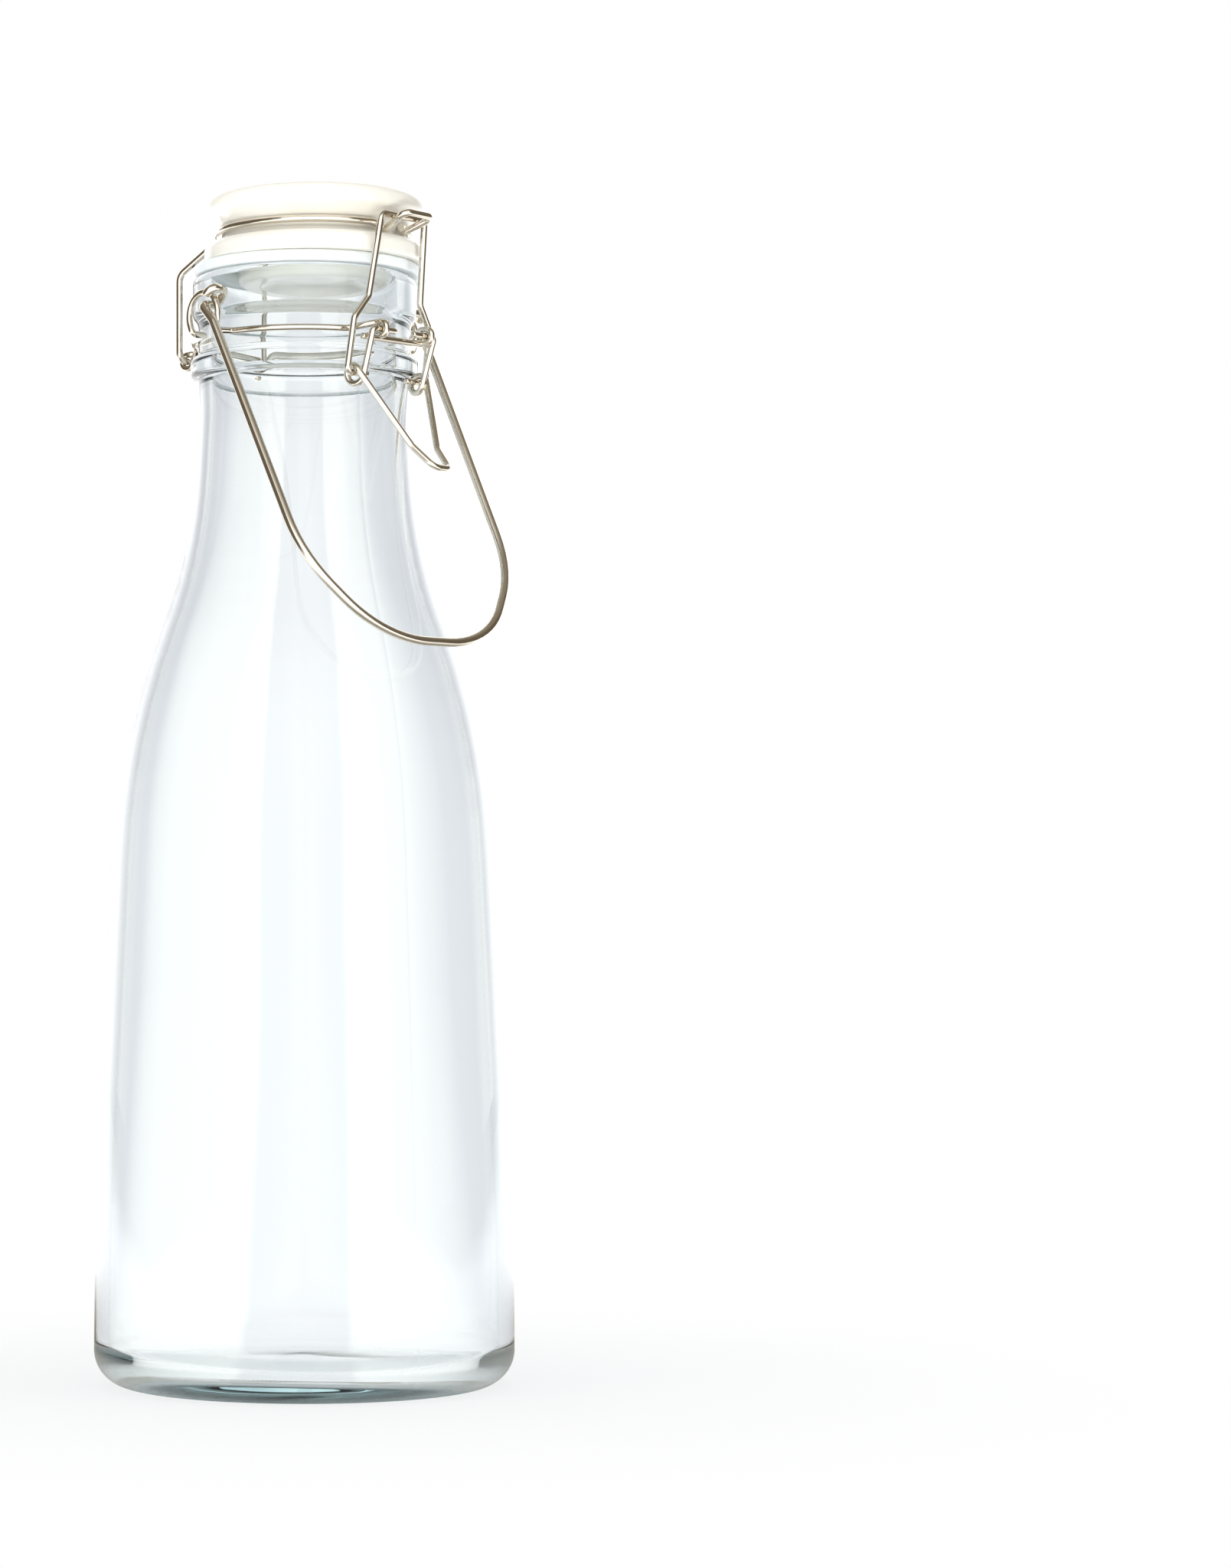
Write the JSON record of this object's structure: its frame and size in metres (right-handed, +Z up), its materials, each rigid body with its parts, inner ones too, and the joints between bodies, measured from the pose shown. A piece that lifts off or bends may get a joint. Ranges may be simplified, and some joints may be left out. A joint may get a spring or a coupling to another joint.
{
  "type": "swing top bottle",
  "caption": "clear glass swing top bottle with ceramic lid, rubber-like gasket, over-centre wire latch and a wire carrying handle",
  "frame": {"origin": "on the bottle's axis, in the plane of the foot that it stands on", "axes": "+Z up along the bottle's axis, -Y toward the latch at the front, +Y toward the lid's hinge, +X to the right seen from the front"},
  "size_m": [0.0968, 0.0968, 0.2729],
  "materials": {
    "clear_glass": "clear soda-lime glass, smooth, faint blue-green at thick edges",
    "wire": "bright nickel-plated steel wire, warm tone",
    "lid_ceramic": "glazed cream ceramic, glossy",
    "gasket_silicone": "translucent whitish silicone, satin"
  },
  "bodies": {
    "bottle": {"bottle_glass": "clear_glass", "neck_ring": "wire"},
    "lid": {"lid": "lid_ceramic", "gasket": "gasket_silicone", "lid_wire": "wire"},
    "lever": {"latch_lever": "wire"},
    "link": {"latch_link": "wire"},
    "handle": {"handle": "wire"}
  },
  "joints": [
    {"name": "lid_hinge", "type": "hinge", "parent": "bottle", "child": "lid", "pos_m": [0, 0.027, 0.2368], "axis": [-1, 0, 0], "range_deg": [0, 105]},
    {"name": "lever_pivot", "type": "hinge", "parent": "bottle", "child": "lever", "pos_m": [0, -0.0302, 0.239], "axis": [-1, 0, 0], "range_deg": [0, 120]},
    {"name": "link_pivot", "type": "hinge", "parent": "lever", "child": "link", "pos_m": [0, -0.025, 0.2293], "axis": [-1, 0, 0], "range_deg": [-193, 0]},
    {"name": "handle_swing", "type": "hinge", "parent": "bottle", "child": "handle", "pos_m": [0, 0, 0.24315], "axis": [-0.9877, 0.1564, 0], "range_deg": [0, 150]}
  ],
  "couplings": [
    {"joint": "link_pivot", "follows": "lever_pivot", "ratio": -1.6}
  ]
}
